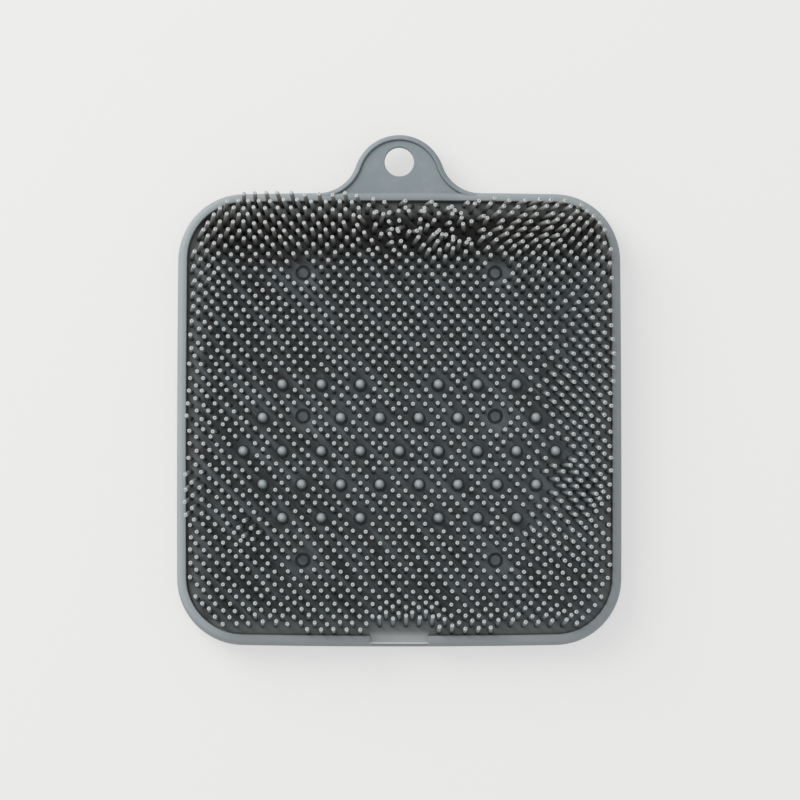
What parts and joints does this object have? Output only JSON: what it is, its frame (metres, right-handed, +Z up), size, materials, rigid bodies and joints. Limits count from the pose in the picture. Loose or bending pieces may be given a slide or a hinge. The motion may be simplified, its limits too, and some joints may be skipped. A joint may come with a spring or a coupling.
{
  "type": "shower foot scrubber",
  "caption": "Grey one-piece shower foot scrubber mat with soft bristles, massage nubs, suction cups and a hanging tab.",
  "frame": {"origin": "on the floor, under the middle of the outline box, tab included", "axes": "+Z up from the floor through the bristle tips, +Y towards the hanging tab, +X to the right"},
  "size_m": [0.24, 0.2764, 0.0275],
  "materials": {
    "soft_silicone": "satin"
  },
  "bodies": {
    "root": {"scrubber_mat": "soft_silicone"}
  },
  "joints": []
}
